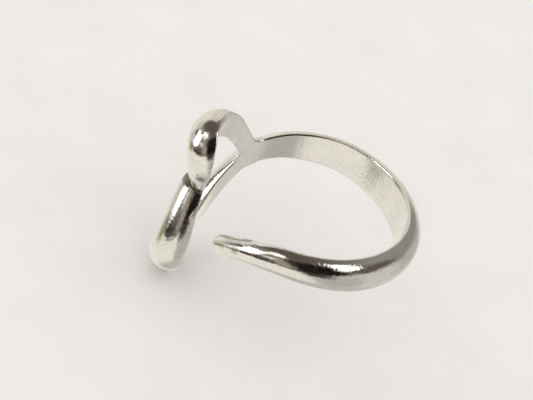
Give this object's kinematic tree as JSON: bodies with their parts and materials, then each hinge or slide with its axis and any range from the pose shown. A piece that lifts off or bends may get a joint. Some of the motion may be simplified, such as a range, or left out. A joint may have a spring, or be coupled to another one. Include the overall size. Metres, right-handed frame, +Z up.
{
  "type": "finger ring",
  "caption": "Open finger ring: a tapering half-round band with a free blunt tip at one end, the other parting into an open heart across the front.",
  "frame": {"origin": "middle of the finger hole, on its axis, at mid-width of the band's back", "axes": "+Z up along the finger hole's axis, away from the lower lobe; -Y towards the heart at the front; +X towards the free tip's side"},
  "size_m": [0.0194, 0.021, 0.0154],
  "materials": {
    "silver": "polished"
  },
  "bodies": {
    "root": {"band": "silver", "upper_lobe": "silver", "lower_lobe": "silver"}
  },
  "joints": []
}
